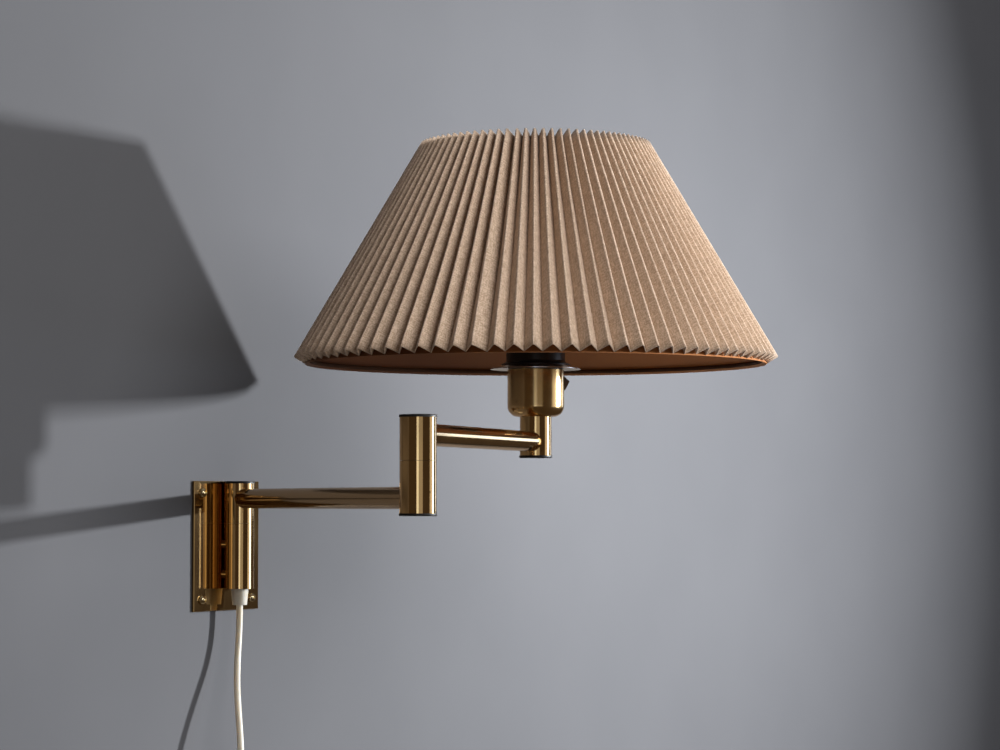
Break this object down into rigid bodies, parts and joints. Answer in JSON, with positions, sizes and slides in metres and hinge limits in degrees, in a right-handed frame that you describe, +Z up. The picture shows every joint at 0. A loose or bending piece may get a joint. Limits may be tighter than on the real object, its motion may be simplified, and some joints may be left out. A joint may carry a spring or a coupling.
{
  "type": "articulating wall light",
  "caption": "Brass wall light with a wall plate, two swinging arms joined at an elbow, a switched lampholder and a pleated cone shade, fed by a plug-in cord.",
  "frame": {"origin": "middle of the wall plate's back face, on the wall", "axes": "+Z up, +Y into the wall along the fixing screws, +X to the right as one faces the wall"},
  "size_m": [0.4271, 0.4641, 0.587],
  "materials": {
    "polished_brass": "mirror polished and lacquered",
    "screw_brass": "bright plated",
    "turned_brass": "as turned",
    "plain_steel": "zinc plated",
    "bright_steel": "bright plated",
    "frame_wire": "white coated wire",
    "rim_tape": "brown tape wound on wire",
    "friction_fibre": "fibre washer",
    "black_cap": "satin moulded",
    "black_ring": "moulded",
    "holder_moulding": "moulded",
    "brown_rocker": "moulded",
    "ivory_vinyl": "satin sheath",
    "tie_plastic": "soft strap",
    "pleated_linen": "pleated laminated linen",
    "shade_card": "smooth laminated card",
    "opal_glass": "opal"
  },
  "bodies": {
    "wall_bracket": {"wall_plate": "polished_brass", "wall_screws": "screw_brass", "bracket_spacers": "polished_brass", "bracket_screws": "plain_steel", "bracket_tube": "polished_brass", "bracket_foot": "turned_brass", "cord_grip": "ivory_vinyl", "grip_nut": "plain_steel", "wall_pivot_socket": "turned_brass", "wall_pivot_stud": "plain_steel", "wall_pivot_washer": "friction_fibre", "wall_stop_pin": "plain_steel", "wall_pivot_spring": "plain_steel", "wall_pivot_nut": "plain_steel", "bracket_lead": "ivory_vinyl", "mains_cord": "ivory_vinyl", "cord_coil": "ivory_vinyl", "cord_tie": "tie_plastic", "plug_body": "ivory_vinyl", "plug_pins": "bright_steel"},
    "lower_arm": {"hub_tube": "polished_brass", "hub_cap": "black_cap", "wall_pivot_bearing": "turned_brass", "lower_arm_tube": "polished_brass", "elbow_lower_tube": "polished_brass", "elbow_lower_cap": "black_cap", "elbow_pivot_socket": "turned_brass", "elbow_pivot_stud": "plain_steel", "elbow_pivot_washer": "friction_fibre", "elbow_stop_pin": "plain_steel", "elbow_pivot_spring": "plain_steel", "elbow_pivot_nut": "plain_steel", "lower_arm_lead": "ivory_vinyl"},
    "upper_arm": {"elbow_upper_tube": "polished_brass", "elbow_upper_cap": "black_cap", "elbow_pivot_bearing": "turned_brass", "upper_arm_tube": "polished_brass", "lamp_post": "polished_brass", "lamp_post_cap": "black_cap", "lamp_post_plug": "turned_brass", "upper_arm_lead": "ivory_vinyl", "holder_nipple": "plain_steel", "holder_nut": "plain_steel", "lampholder_cup": "polished_brass", "lampholder_body": "holder_moulding", "screw_shell": "turned_brass", "centre_contact": "turned_brass", "switch_housing": "holder_moulding", "switch_pin": "plain_steel", "carrier_disc": "bright_steel", "shade_ring": "black_ring", "carrier_collar": "frame_wire", "pleated_cover": "pleated_linen", "shade_liner": "shade_card", "shade_top_ring": "frame_wire", "shade_bottom_ring": "rim_tape", "carrier_wires": "frame_wire", "bulb_cap": "bright_steel", "bulb_glass": "opal_glass"},
    "switch": {"switch_rocker": "brown_rocker"}
  },
  "joints": [
    {"name": "lower_arm_swing", "type": "hinge", "parent": "wall_bracket", "child": "lower_arm", "pos_m": [0, -0.0145, 0.0175], "axis": [0, 0, 1], "range_deg": [-56, 124]},
    {"name": "upper_arm_swing", "type": "hinge", "parent": "lower_arm", "child": "upper_arm", "pos_m": [-0.19572, -0.30466, 0.061], "axis": [0, 0, 1], "range_deg": [-285.5, 14.5]},
    {"name": "switch_rock", "type": "hinge", "parent": "upper_arm", "child": "switch", "pos_m": [0.05078, -0.2703, 0.122], "axis": [-0.766, -0.6428, 0], "range_deg": [-20, 0]}
  ]
}
